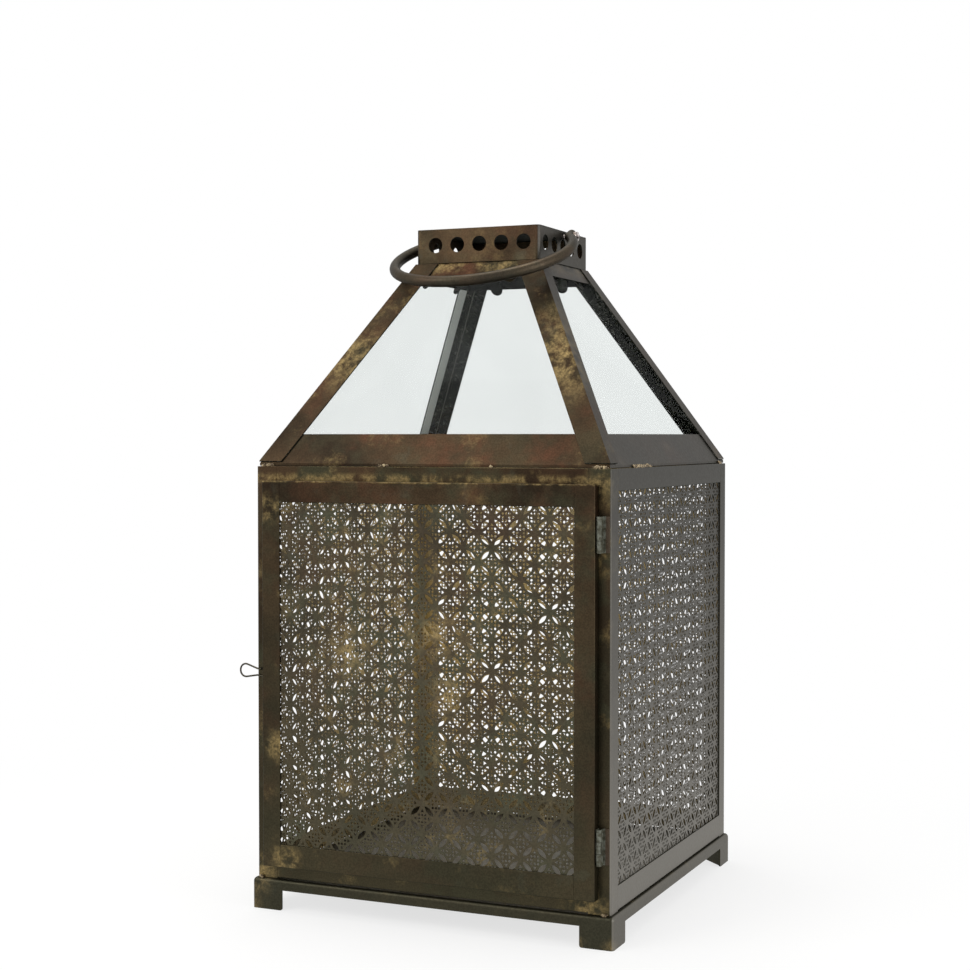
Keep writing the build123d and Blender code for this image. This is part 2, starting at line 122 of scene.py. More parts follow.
class FinishSettings(bpy.types.PropertyGroup):
    """Colours of the metal, the glass and the welds, and softness of the edges."""

    dark: colour("Dark bronze", "Deepest tone of the patina", (0.022, 0.015, 0.009))
    brown: colour("Brown", "Main tone of the patina", (0.058, 0.037, 0.020))
    olive: colour("Olive", "Greenish drift in the patina", (0.047, 0.045, 0.026))
    ochre: colour("Ochre", "Golden patches where the metal was rubbed", (0.330, 0.235, 0.092))
    rust: colour("Rust", "Red-brown patches", (0.088, 0.038, 0.021))
    verdigris: colour("Verdigris", "Grey-green tarnish", (0.066, 0.078, 0.058))
    grey: colour("Grey", "Bare grey-green metal", (0.062, 0.064, 0.051))
    # Painted sheen: right-looking faces take these greys, paler towards the foot, for the light
    # they reflect
    painted_sheen_top: colour("Cool top", "Right side at its top", (0.083, 0.080, 0.072))
    painted_sheen_foot: colour("Cool foot", "Right side at its foot", (0.276, 0.260, 0.232))
    # Painted shade on faces that look down, with lighter patches in it
    under_shade: colour("Soot", "Faces that look down", (0.014, 0.016, 0.012))
    under_shade_mottle: colour("Worn soot", "Patches in the soot", (0.040, 0.044, 0.034))
    # Painted light: a warm pool of light on the inside about the far corner, with brighter patches
    painted_far_light: colour("Far metal", "Inside about the far corner", (0.46, 0.39, 0.26))
    painted_far_light_patches: colour("Far gold", "Golden patches about the far corner", (0.85, 0.62, 0.25))
    # Pale line and spots under the hips: soldered metal with painted glints
    solder_and_glints: colour("Solder", "Line and glints under the hips", (0.240, 0.236, 0.205))
    # Painted light on the undersides of the back hips' leaves
    painted_lit_leaf: colour("Pale leaf", "Underside of the back hips", (0.800, 0.810, 0.770))
    zinc: colour("Zinc", "Bare grey floor of the tray", (0.300, 0.300, 0.280))
    dull_zinc: colour("Dull zinc", "Patches in the tray's floor", (0.22, 0.20, 0.17))
    bead: colour("Weld bead", "Bright metal of the welds", (0.430, 0.340, 0.200))
    crust: colour("Hinge crust", "Pale green-grey crust on the hinges", (0.150, 0.158, 0.128))
    nut: colour("Nut", "Bright metal of the studs and nuts", (0.640, 0.580, 0.560))
    glass: colour("Glass", "Tint of one face of a pane", (0.948, 0.958, 0.955))
    bump: length("Bump", "Height of the grain in the metal", 0.15 * MM)
    strip_edge: length("Strip edge", "Softened edge of posts, strips and hips", 0.25 * MM)
    collar_edge: length("Collar edge", "Softened edge of collar and nuts", 0.2 * MM)


class WeldSettings(bpy.types.PropertyGroup):
    """Sizes of the welds."""

    lump_size: length("Lump size", "Width of the largest lump of a bead", 2.72 * MM)
    lump_step: length("Lump step", "Distance between the lumps of a bead", 0.8 * MM)
    end_gap: length("End gap", "From the end of a bead to its first lump", 0.85 * MM)
    seed: IntProperty(name="Seed", description="Order of the lumps' sizes", default=7)


class StageSettings(bpy.types.PropertyGroup):
    """Camera, light and floor."""

    camera_place: FloatVectorProperty(
        name="Camera place",
        description="Where the camera stands",
        subtype="TRANSLATION",
        unit="LENGTH",
        default=(0.5465, -1.2792, 0.3529),
    )
    camera_aim: FloatVectorProperty(
        name="Camera aim",
        description="Direction in which the camera looks",
        subtype="DIRECTION",
        default=(-0.40224, 0.91512, -0.02753),
    )
    lens: FloatProperty(
        name="Lens",
        description="Focal length on a 36 mm sensor",
        unit="CAMERA",
        default=65.67,
    )
    key_power: power("Key power", "Power of the main soft light", 20.0)
    fill_power: power("Fill power", "Power of the soft light on the right", 10.0)
    top_power: power("Top power", "Power of the soft light over the glass roof", 14.0)
    ambient: FloatProperty(
        name="Ambient",
        description="Strength of the light from all round",
        min=0.0,
        default=0.65,
    )
    shadow: FloatProperty(
        name="Shadow",
        description="How much of the floor near the lantern takes its shadow",
        subtype="FACTOR",
        min=0.0,
        max=1.0,
        default=0.30,
    )
    shadow_reach: length("Shadow reach", "How far from the lantern its shadow shows", 0.75)
    floor_half: length("Floor reach", "From the middle of the floor to its edge", 6.0)
    floor: colour("Floor", "Colour of the floor", (0.93, 0.93, 0.92))


class LanternSettings(bpy.types.PropertyGroup):
    """All of the lantern's settings."""

    punch: PointerProperty(type=PunchSettings)
    finish: PointerProperty(type=FinishSettings)
    weld: PointerProperty(type=WeldSettings)
    stage: PointerProperty(type=StageSettings)


def settings():
    """The settings on the scene."""
    return bpy.context.scene.lantern


# Nodes and meshes


def add_node(tree, kind, values=None, **options):
    """A node with its options, its input values and its links in one call."""
    node = tree.nodes.new(kind)
    for name, value in options.items():
        setattr(node, name, value)
    for name, value in (values or {}).items():
        socket = node.inputs[name]
        if isinstance(value, bpy.types.NodeSocket):
            tree.links.new(value, socket)
        else:
            socket.default_value = value
    return node


def calculate(tree, operation, first, second=0.0):
    """The result of a Math node."""
    node = add_node(tree, "ShaderNodeMath", {0: first, 1: second}, operation=operation)
    return node.outputs[0]


def times(tree, first, second):
    """The product of two numbers or sockets."""
    return calculate(tree, "MULTIPLY", first, second)


def level(tree, amount, none, full):
    """A number between two: the first at none of an amount, the second at full."""
    return calculate(tree, "ADD", times(tree, amount, full - none), none)


def point(tree, x, y, z=0.0):
    """A vector from three numbers or sockets."""
    return add_node(tree, "ShaderNodeCombineXYZ", {0: x, 1: y, 2: z}).outputs[0]


def split(tree, vector):
    """The three numbers of a vector."""
    return add_node(tree, "ShaderNodeSeparateXYZ", {0: vector}).outputs


SOCKETS = (
    (int, "NodeSocketInt"),
    (float, "NodeSocketFloat"),
    (bpy.types.Material, "NodeSocketMaterial"),
)


def new_tree(name, values):
    """A Geometry Nodes tree, its inputs and its output node.

    It takes the object's own mesh, and has a named input for each value, with that default.
    """
    tree = bpy.data.node_groups.new(name, "GeometryNodeTree")
    for way in ("OUTPUT", "INPUT"):
        tree.interface.new_socket("Geometry", in_out=way, socket_type="NodeSocketGeometry")
    for label, value in values.items():
        kind = next(socket for made, socket in SOCKETS if isinstance(value, made))
        socket = tree.interface.new_socket(label, in_out="INPUT", socket_type=kind)
        socket.default_value = value
    given = tree.nodes.new("NodeGroupInput").outputs
    return tree, given, tree.nodes.new("NodeGroupOutput")


def end_tree(tree, given, result, geometry):
    """Sends geometry to the tree's output with the material that was given."""
    finished = add_node(
        tree,
        "GeometryNodeSetMaterial",
        {"Geometry": geometry, "Material": given["Material"]},
    )
    tree.links.new(finished.outputs[0], result.inputs[0])
    return tree


def evaluated(holder):
    """The plain mesh of an object with its modifiers, in place of the object."""
    holder.update_tag()
    graph = bpy.context.evaluated_depsgraph_get()
    mesh = bpy.data.meshes.new_from_object(holder.evaluated_get(graph))
    bpy.data.objects.remove(holder)
    return mesh


def placed(name, data):
    """A new object in the scene."""
    made = bpy.data.objects.new(name, data)
    bpy.context.scene.collection.objects.link(made)
    return made


def grown(name, tree, values, start=None):
    """The plain mesh that a tree makes with the given inputs, from a start mesh if it needs one."""
    holder = placed(name, start or bpy.data.meshes.new(name))
    modifier = holder.modifiers.new("Nodes", "NODES")
    modifier.node_group = tree
    for item in tree.interface.items_tree:
        if item.in_out == "INPUT" and item.name in values:
            modifier[item.identifier] = values[item.name]
    return evaluated(holder)


def piece(name, mesh, body, node):
    """A finished mesh as an object that rides on a body and stands for a node."""
    made = placed(name, mesh)
    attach(made, body)
    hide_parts(node)


# Pierced sheets

# Corners of a round hole and of a three-cornered one, and holes along a side of a cluster
DOT_CORNERS = 8
WEDGE_CORNERS = 3
DOTS_ACROSS = 3


def bearing(tree):
    """The angle about the origin at which each point stands."""
    place = split(tree, add_node(tree, "GeometryNodeInputPosition").outputs[0])
    return calculate(tree, "ARCTAN2", place[1], place[0])


def circle(tree, corners, radius):
    """A closed line with a number of corners on a circle."""
    return add_node(
        tree,
        "GeometryNodeCurvePrimitiveCircle",
        {"Resolution": corners, "Radius": radius},
        mode="RADIUS",
    ).outputs[0]


def tile_outline(tree, given, step):
    """One closed line round a cluster: four hub corners and the near edges of four petals."""
    middle = times(tree, step, 0.5)
    half_slant = math.sqrt(0.125)
    half_length = times(tree, given["Petal Length"], half_slant)
    half_width = times(tree, given["Petal Width"], half_slant)
    far = calculate(tree, "ADD", middle, half_length)
    near = calculate(tree, "SUBTRACT", middle, half_length)
    bulge = calculate(tree, "SUBTRACT", middle, half_width)
    arc = add_node(
        tree,
        "GeometryNodeCurveArc",
        {
            "Resolution": given["Petal Steps"],
            "Start": point(tree, far, near),
            "Middle": point(tree, bulge, bulge),
            "End": point(tree, near, far),
        },
        mode="POINTS",
    )
    edge = add_node(tree, "GeometryNodeCurveToPoints", {0: arc.outputs[0]}, mode="EVALUATED")
    corner = add_node(tree, "GeometryNodePoints", {"Count": 1, "Position": point(tree, step, 0.0)})
    both = add_node(tree, "GeometryNodeJoinGeometry")
    tree.links.new(edge.outputs[0], both.inputs[0])
    tree.links.new(corner.outputs[0], both.inputs[0])
    four = add_node(
        tree,
        "GeometryNodeDuplicateElements",
        {"Geometry": both.outputs[0], "Amount": 4},
        domain="POINT",
    )
    turned = add_node(
        tree,
        "ShaderNodeVectorRotate",
        {
            "Vector": add_node(tree, "GeometryNodeInputPosition").outputs[0],
            "Angle": times(tree, four.outputs["Duplicate Index"], QUARTER),
        },
        rotation_type="Z_AXIS",
    )
    moved = add_node(
        tree,
        "GeometryNodeSetPosition",
        {"Geometry": four.outputs[0], "Position": turned.outputs[0]},
    )
    line = add_node(
        tree,
        "GeometryNodePointsToCurves",
        {"Points": moved.outputs[0], "Weight": bearing(tree)},
    )
    return add_node(
        tree,
        "GeometryNodeSetSplineCyclic",
        {"Geometry": line.outputs[0], "Cyclic": True},
    ).outputs[0]


def cluster_dots(tree, given):
    """Eight round holes about a solid middle."""
    width = times(tree, given["Dot Spacing"], DOTS_ACROSS - 1.0)
    sizes = {"Size " + axis: width for axis in "XY"}
    sizes.update({"Vertices " + axis: DOTS_ACROSS for axis in "XY"})
    grid = add_node(tree, "GeometryNodeMeshGrid", sizes)
    index = add_node(tree, "GeometryNodeInputIndex").outputs[0]
    is_middle = add_node(
        tree,
        "FunctionNodeCompare",
        {2: index, 3: DOTS_ACROSS**2 // 2},
        data_type="INT",
        operation="EQUAL",
    )
    ring = add_node(
        tree,
        "GeometryNodeDeleteGeometry",
        {"Geometry": grid.outputs[0], "Selection": is_middle.outputs[0]},
        domain="POINT",
    )
    hole = circle(tree, DOT_CORNERS, given["Dot Radius"])
    return add_node(
        tree,
        "GeometryNodeInstanceOnPoints",
        {"Points": ring.outputs[0], "Instance": hole},
    ).outputs[0]


def cluster_wedges(tree, given):
    """Four three-cornered holes that point away from the cluster."""
    return add_node(
        tree,
        "GeometryNodeInstanceOnPoints",
        {
            "Points": circle(tree, 4, given["Wedge Reach"]),
            "Instance": circle(tree, WEDGE_CORNERS, given["Wedge Radius"]),
            "Rotation": point(tree, 0.0, 0.0, bearing(tree)),
        },
    ).outputs[0]


def cluster_sites(tree, given, step):
    """Every second crossing of a square grid, where a cluster stands between four hubs."""
    sizes = {}
    for axis, count in (("X", given["Columns"]), ("Y", given["Rows"])):
        gaps = calculate(tree, "SUBTRACT", count, 1.0)
        sizes["Size " + axis] = times(tree, gaps, step)
        sizes["Vertices " + axis] = count
    grid = add_node(tree, "GeometryNodeMeshGrid", sizes)
    place = split(tree, add_node(tree, "GeometryNodeInputPosition").outputs[0])
    counts = [
        calculate(tree, "ROUND", calculate(tree, "DIVIDE", place[axis], step)) for axis in (0, 1)
    ]
    total = calculate(tree, "ABSOLUTE", calculate(tree, "ADD", *counts))
    is_hub = calculate(tree, "LESS_THAN", calculate(tree, "MODULO", total, 2.0), 0.5)
    return add_node(
        tree,
        "GeometryNodeDeleteGeometry",
        {"Geometry": grid.outputs[0], "Selection": is_hub},
        domain="POINT",
    ).outputs[0]


def punch_tree(values):
    """The tree that repeats the pierced tile over a flat sheet."""
    tree, given, result = new_tree("Pierced sheet", values)
    step = times(tree, given["Pitch"], 0.5)
    lines = add_node(tree, "GeometryNodeJoinGeometry")
    for source in (
        tile_outline(tree, given, step),
        cluster_dots(tree, given),
        cluster_wedges(tree, given),
    ):
        tree.links.new(source, lines.inputs[0])
    plain = add_node(tree, "GeometryNodeRealizeInstances", {0: lines.outputs[0]})
    tile = add_node(tree, "GeometryNodeFillCurve", {0: plain.outputs[0]}, mode="TRIANGLES")
    spread = add_node(
        tree,
        "GeometryNodeInstanceOnPoints",
        {"Points": cluster_sites(tree, given, step), "Instance": tile.outputs[0]},
    )
    sheet = add_node(tree, "GeometryNodeRealizeInstances", {0: spread.outputs[0]})
    joined = add_node(
        tree,
        "GeometryNodeMergeByDistance",
        {"Geometry": sheet.outputs[0], "Distance": SAME_POINT},
    )
    return end_tree(tree, given, result, joined.outputs[0])


def trimmed(mesh, half_width, low, high):
    """Cuts a flat mesh to a rectangle about its origin."""
    shape = bmesh.new()
    shape.from_mesh(mesh)
    for place, normal in (
        ((half_width, 0, 0), (1, 0, 0)),
        ((-half_width, 0, 0), (-1, 0, 0)),
        ((0, high, 0), (0, 1, 0)),
        ((0, low, 0), (0, -1, 0)),
    ):
        bmesh.ops.bisect_plane(
            shape,
            geom=shape.verts[:] + shape.edges[:] + shape.faces[:],
            dist=ON_CUT,
            plane_co=place,
            plane_no=normal,
            clear_outer=True,
        )
    shape.to_mesh(mesh)
    shape.free()


def thickened(name, mesh, thickness):
    """The flat mesh with its thickness inwards from its face, and walls of the second finish."""
    holder = placed(name, mesh)
    solid = holder.modifiers.new("Thickness", "SOLIDIFY")
    solid.thickness = thickness
    solid.offset = -1.0
    solid.material_offset_rim = 1
    return evaluated(holder)


def sheet_place(side, distance, height):
    """Turns a flat sheet, x along it and y up, to stand on a side of the lantern."""
    turn = QUARTER * SIDES.index(side)
    out = Vector((math.sin(turn), -math.cos(turn), 0))
    stand = Euler((QUARTER, 0, turn)).to_matrix().to_4x4()
    return Matrix.Translation(out * distance + Vector((0, 0, height))) @ stand


def pierced(side, node, body, rails, shift, finish, edge):
    """A pierced sheet in place of a node, centred between its lower and its upper strip.

    The walls of its holes have a finish of their own.
    """
    name = "pierced_" + side
    low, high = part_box(node)
    lower, upper = rails
    punch = settings().punch
    middle = (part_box(lower)[1].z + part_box(upper)[0].z) / 2
    axis = 0 if side in ("front", "back") else 1
    half_width = (high[axis] - low[axis]) / 2
    distance = max(abs(low[1 - axis]), abs(high[1 - axis]))
    reach = max(high.z - middle, middle - low.z) + punch.pitch
    step = punch.pitch / 2
    values = {
        "Pitch": punch.pitch,
        "Petal Length": punch.petal_length,
        "Petal Width": punch.petal_width,
        "Petal Steps": punch.petal_steps,
        "Dot Radius": punch.dot_size / 2,
        "Dot Spacing": punch.dot_spacing,
        "Wedge Radius": punch.wedge_size / 2,
        "Wedge Reach": punch.wedge_reach,
        "Columns": 2 * math.ceil((half_width + punch.pitch) / step) + 1,
        "Rows": 2 * math.ceil(reach / step) + 1,
        "Material": finish,
    }
    mesh = grown(name, punch_tree(values), values)
    mesh.transform(Matrix.Translation((shift, 0, 0)))
    mesh.materials.append(edge)
    trimmed(mesh, half_width, low.z - middle, high.z - middle)
    mesh = thickened(name, mesh, punch.thickness)
    mesh.transform(sheet_place(side, distance, middle))
    piece(name, mesh, body, node)


# Welds

# A lump's stray from its line and its least width, as shares of the largest lump
LUMP_STRAY = 0.16
LEAST_LUMP = 0.55


def weld_tree(values):
    """The tree that strings lumps of uneven size along each line of the start mesh."""
    tree, given, result = new_tree("Weld beads", values)
    line = add_node(tree, "GeometryNodeMeshToCurve", {0: given["Geometry"]})
    points = add_node(
        tree,
        "GeometryNodeCurveToPoints",
        {0: line.outputs[0], "Length": given["Lump Step"]},
        mode="LENGTH",
    )
    stray = times(tree, given["Lump Size"], LUMP_STRAY)
    back = times(tree, stray, -1.0)
    jitter = add_node(
        tree,
        "FunctionNodeRandomValue",
        {0: point(tree, back, back, back), 1: point(tree, stray, stray, stray), 8: given["Seed"]},
        data_type="FLOAT_VECTOR",
    )
    moved = add_node(
        tree,
        "GeometryNodeSetPosition",
        {"Geometry": points.outputs[0], "Offset": jitter.outputs[0]},
    )
    lump = add_node(tree, "GeometryNodeMeshIcoSphere", {"Radius": 0.5, "Subdivisions": 3})
    smooth = add_node(tree, "GeometryNodeSetShadeSmooth", {0: lump.outputs[0]})
    fraction = add_node(
        tree,
        "FunctionNodeRandomValue",
        {2: LEAST_LUMP, 3: 1.0, 8: given["Seed"]},
        data_type="FLOAT",
    )
    size = times(tree, fraction.outputs[1], given["Lump Size"])
    spread = add_node(
        tree,
        "GeometryNodeInstanceOnPoints",
        {
            "Points": moved.outputs[0],
            "Instance": smooth.outputs[0],
            "Scale": point(tree, size, size, size),
        },
    )
    plain = add_node(tree, "GeometryNodeRealizeInstances", {0: spread.outputs[0]})
    return end_tree(tree, given, result, plain.outputs[0])


def solid_boxes(name):
    """The low and high corner of each separate solid in a node."""
    shape = bmesh.new()
    shape.from_mesh(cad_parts[name].data)
    bmesh.ops.remove_doubles(shape, verts=shape.verts[:], dist=SAME_POINT)
    left = dict.fromkeys(shape.verts)
    boxes = []
    while left:
        group = [next(iter(left))]
        del left[group[0]]
        for vert in group:
            for edge in vert.link_edges:
                other = edge.other_vert(vert)
                if other in left:
                    del left[other]
                    group.append(other)
        places = [vert.co.copy() for vert in group]
        low = Vector([min(place[axis] for place in places) for axis in range(3)])
        high = Vector([max(place[axis] for place in places) for axis in range(3)])
        boxes.append((low, high))
    shape.free()
    return boxes


def bead_lines(name, inset):
    """A start mesh with one line along the longest axis of each solid of a node."""
    places = []
    for low, high in solid_boxes(name):
        size = high - low
        longest = max(range(3), key=lambda axis: size[axis])
        for end in (low, high):
            place = (low + high) / 2
            sign = 1 if end is low else -1
            place[longest] = end[longest] + sign * min(inset, size[longest] / 2 - SAME_POINT)
            places.append(place)
    mesh = bpy.data.meshes.new(name + "_lines")
    edges = [(index, index + 1) for index in range(0, len(places), 2)]
    mesh.from_pydata(places, edges, [])
    return mesh


# Finishes

# Patches of a finish: scale, low and high cut, detail and roughness of their noise
DRIFT = (13.0, 0.36, 0.66)
GREENISH = (31.0, 0.40, 0.66)
RED = (24.0, 0.45, 0.70, 6.0)
GRAIN = (420.0, 0.30, 0.72, 3.0, 0.7)
GOLD = (36.0, 0.55, 0.72, 8.0, 0.7)
RAGGED = (110.0, 0.38, 0.62, 6.0)
TARNISH = (47.0, 0.58, 0.70, 6.0)
SPECKLE = (900.0, 0.35, 0.65, 2.0)
# Lighter patches in the painted shade under the metal
UNDER_SHADE_MOTTLE = (60.0, 0.40, 0.70, 6.0)
WAVE = (28.0, 0.2, 0.8, 2.0)
# Patches in the painted light about the far corner
FAR_LIGHT_PATCHES = (45.0, 0.30, 0.66, 6.0, 0.7)
GLINTS = (480.0, 0.54, 0.68, 3.0)
ZINC = (60.0, 0.2, 0.8)
SMEAR = (14.0, 0.35, 0.75, 1.0)

# Start and end of the ramps over the way a face looks, and of those past the middle
DOWNWARDS = (-0.15, -0.30)
RIGHTWARDS = (0.35, 0.60)
INWARDS = (0.3, 0.6)
# The leaves whose undersides are painted with light
LIT_LEAF_WAYS = (0.5, 0.7)
PAST_MIDDLE = (0.0, 0.02)

# The patina: metallic share and roughness of plain and of golden metal, and what grain
# and the painted shade on faces that look down add to the roughness
METALLIC = 0.92
GOLDEN_METALLIC = 0.37
ROUGHNESS = 0.38
GOLDEN_ROUGHNESS = 0.56
GRAIN_ROUGHNESS = 0.10
UNDER_SHADE_ROUGHNESS = 0.30

# How much olive covers the foot of the lantern, how much of the rust is left there, and
# how late the painted sheen on the right side turns paler on the way down
FOOT_OLIVE = 0.75
FOOT_RUST = 0.2
SHEEN_FALL = 1.2

# How much gold is left in the hollows of the grain, shades of the speckle, and strength of
# the relief and of the grain in it
HOLLOW_GOLD = 0.25
SPECKLE_SHADES = (0.82, 1.12)
RELIEF = 0.35
GRAIN_RELIEF = 0.35

# Radius of the painted pool of light about the far corner, its cover and the metallic share left
FAR_LIGHT_REACH = 0.40
FAR_LIGHT_COVER = 0.85
FAR_METALLIC = 0.35

# The pale line under the hips: distance from the ridge, soft and full half width, and cover
SOLDER_AWAY = 6.6 * MM
SOLDER_WIDTHS = (0.8 * MM, 0.2 * MM)
SOLDER_COVER = 0.8

# The crust ends past the pins' box, over a short way
CRUST_PAST = 1.6 * MM
CRUST_FADE = 1.2 * MM

# The tray's floor: depth of its skin, and how far from the sheets it turns bare
FLOOR_SKIN = 0.2 * MM
FLOOR_FADE = 0.02

# How much of a pane is plain tint without a shine
PLAIN_PANE = 0.98

# Edges sharper than this are softened
SHARP = math.radians(40)


def tone(name):
    """A colour of the finish settings, with full cover."""
    return (*getattr(settings().finish, name), 1)


def own_place(tree):
    """Object coordinates."""
    return add_node(tree, "ShaderNodeTexCoord").outputs["Object"]


def face_way(tree):
    """The three numbers of the way each face looks."""
    return split(tree, add_node(tree, "ShaderNodeTexCoord").outputs["Normal"])


def blend_colour(tree, amount, first, second):
    """A colour between two, by an amount."""
    node = add_node(
        tree,
        "ShaderNodeMix",
        {0: amount, 6: first, 7: second},
        data_type="RGBA",
    )
    return node.outputs[2]


def blend_shaders(tree, amount, first, second, end):
    """Sends a blend of two shaders to an output node."""
    mixed = add_node(
        tree,
        "ShaderNodeMixShader",
        {0: amount, 1: first.outputs[0], 2: second.outputs[0]},
    )
    tree.links.new(mixed.outputs[0], tree.nodes[end].inputs[0])


def ramp(tree, value, start, end, shape="SMOOTHSTEP"):
    """None up to a start, rising to one at an end, which may be lower than the start."""
    node = add_node(
        tree,
        "ShaderNodeMapRange",
        {"Value": value, "From Min": start, "From Max": end},
        interpolation_type=shape,
    )
    return node.outputs[0]


def cloud(tree, coords, scale, low, high, detail=4.0, rough=0.6):
    """Soft patches: noise of a scale, cut between a low and a high level."""
    noise = add_node(
        tree,
        "ShaderNodeTexNoise",
        {"Vector": coords, "Scale": scale, "Detail": detail, "Roughness": rough},
    )
    return ramp(tree, noise.outputs[0], low, high)


def band(tree, coords, axis, centre, width):
    """One on a plane across an axis, falling to none at a width from it."""
    offset = calculate(tree, "SUBTRACT", split(tree, coords)[axis], centre)
    return ramp(tree, calculate(tree, "ABSOLUTE", offset), width, 0.0)


def ball(tree, coords, centre, radius):
    """One at a point, falling to none at a radius from it."""
    away = add_node(tree, "ShaderNodeVectorMath", {0: coords, 1: centre}, operation="DISTANCE")
    return ramp(tree, away.outputs["Value"], radius, 0.0)


def new_finish(name):
    """A material with its tree and its shader."""
    material = bpy.data.materials.new(name)
    material.use_nodes = True
    tree = material.node_tree
    return material, tree, tree.nodes["Principled BSDF"]


def opened(material):
    """A finish's tree, its shader and its colour, to paint over."""
    tree = material.node_tree
    shader = tree.nodes["Principled BSDF"]
    return tree, shader, shader.inputs["Base Color"].links[0].from_socket


def dulled(tree, shader, amount, left=0.0):
    """Takes a finish's metallic share down to what is left at the full amount."""
    socket = shader.inputs["Metallic"]
    metal = socket.links[0].from_socket
    tree.links.new(times(tree, metal, level(tree, amount, 1.0, left)), socket)


def bronze(
    name,
    seed=0.0,
    ochre=0.5,
    rust=0.35,
    green=0.15,
    olive=0.7,
    grey=0.0,
    shade=1.0,
    # Share of the painted sheen on the right-looking faces
    right_sheen=0.85,
    # Share of the painted shade on the downward-looking faces
    under_shading=1.0,
    seams=(),
    spots=(),
):
    """Patinated bronze-brown metal: drifting browns with ochre, rust and green patches.

    Each seam is an axis, a place on it and a width, and each spot a point and a radius,
    where more ochre gathers. The metal is more olive towards the floor. Where it looks to
    the right it takes a painted sheen, greyer and paler towards the foot, and where it
    looks down a painted shade, darker.
    """
    material, tree, shader = new_finish(name)
    texture = own_place(tree)
    shifted = {"Vector": texture, "Location": (seed, seed * 0.7, -seed)}
    coords = add_node(tree, "ShaderNodeMapping", shifted).outputs[0]
    place = split(tree, texture)
    facing = face_way(tree)
    low = ramp(tree, place[2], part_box("post_front_right")[1].z, 0.0, "LINEAR")
    # Right-looking faces past the middle, where the painted sheen goes
    right = times(tree, ramp(tree, facing[0], *RIGHTWARDS), ramp(tree, place[0], *PAST_MIDDLE))
    # Downward-looking faces, where the painted shade goes
    under = times(tree, ramp(tree, facing[2], *DOWNWARDS), under_shading)

    paint = blend_colour(tree, cloud(tree, coords, *DRIFT), tone("dark"), tone("brown"))
    greenish = times(tree, cloud(tree, coords, *GREENISH), olive)
    greenish = calculate(tree, "MAXIMUM", greenish, times(tree, low, FOOT_OLIVE))
    paint = blend_colour(tree, greenish, paint, tone("olive"))
    red = times(tree, cloud(tree, coords, *RED), rust)
    red = times(tree, red, level(tree, low, 1.0, FOOT_RUST))
    paint = blend_colour(tree, red, paint, tone("rust"))

    grain = cloud(tree, coords, *GRAIN)
    gold = times(tree, cloud(tree, coords, *GOLD), ochre)
    gathered = [band(tree, texture, *seam) for seam in seams]
    gathered += [ball(tree, texture, *spot) for spot in spots]
    ragged = cloud(tree, coords, *RAGGED)
    for near in gathered:
        gold = calculate(tree, "MAXIMUM", gold, times(tree, near, ragged))
    gold = times(tree, gold, level(tree, grain, HOLLOW_GOLD, 1.0))
    paint = blend_colour(tree, gold, paint, tone("ochre"))
    tarnish = times(tree, cloud(tree, coords, *TARNISH), green)
    paint = blend_colour(tree, tarnish, paint, tone("verdigris"))
    paint = blend_colour(tree, grey, paint, tone("grey"))

    shades = [part * shade for part in SPECKLE_SHADES]
    light = level(tree, cloud(tree, coords, *SPECKLE), *shades)
    lit = {0: paint, "Scale": light}
    paint = add_node(tree, "ShaderNodeVectorMath", lit, operation="SCALE").outputs[0]
    # Painted sheen on the right side: greyer, and paler towards the foot
    sheen_fall = calculate(tree, "POWER", low, SHEEN_FALL)
    sheen_paint = blend_colour(tree, sheen_fall, tone("painted_sheen_top"), tone("painted_sheen_foot"))
    paint = blend_colour(tree, times(tree, right, right_sheen), paint, sheen_paint)
    # Painted shade on the faces that look down, with lighter patches in it
    under_shade = blend_colour(tree, cloud(tree, coords, *UNDER_SHADE_MOTTLE), tone("under_shade"), tone("under_shade_mottle"))
    paint = blend_colour(tree, under, paint, under_shade)
    tree.links.new(paint, shader.inputs["Base Color"])

    metal = level(tree, gold, METALLIC, GOLDEN_METALLIC)
    tree.links.new(metal, shader.inputs["Metallic"])
    matt = level(tree, gold, ROUGHNESS, GOLDEN_ROUGHNESS)
    for amount, rise in ((grain, GRAIN_ROUGHNESS), (under, UNDER_SHADE_ROUGHNESS)):
        matt = calculate(tree, "ADD", matt, times(tree, amount, rise))
    tree.links.new(matt, shader.inputs["Roughness"])
    height = calculate(tree, "ADD", times(tree, grain, GRAIN_RELIEF), cloud(tree, coords, *WAVE))
    relief = {"Strength": RELIEF, "Distance": settings().finish.bump, "Height": height}
    bump = add_node(tree, "ShaderNodeBump", relief)
    tree.links.new(bump.outputs[0], shader.inputs["Normal"])
    shader.inputs["Specular Tint"].default_value = (0.6, 0.6, 0.6, 1)
    return material


def lit_metal(name, **amounts):
    """Metal about the far corner, with a painted pool of warm light and brighter patches where it
    looks inwards, and duller there.
    """
    material = bronze(name, **amounts)
    tree, shader, paint = opened(material)
    texture = own_place(tree)
    facing = face_way(tree)
    forward = times(tree, facing[1], -1.0)
    ways = [ramp(tree, way, *INWARDS) for way in (facing[0], forward)]
    inward = calculate(tree, "MAXIMUM", *ways)
    low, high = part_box("post_back_left")
    corner = (low.x, high.y, (low.z + high.z) / 2)
    # Painted light: the inside about the far corner is painted pale, with brighter golden patches
    near = times(tree, ball(tree, texture, corner, FAR_LIGHT_REACH), inward)
    patches = cloud(tree, texture, *FAR_LIGHT_PATCHES)
    paint = blend_colour(tree, times(tree, near, FAR_LIGHT_COVER), paint, tone("painted_far_light"))
    paint = blend_colour(tree, times(tree, near, patches), paint, tone("painted_far_light_patches"))
    tree.links.new(paint, shader.inputs["Base Color"])
    dulled(tree, shader, inward, FAR_METALLIC)
    return material


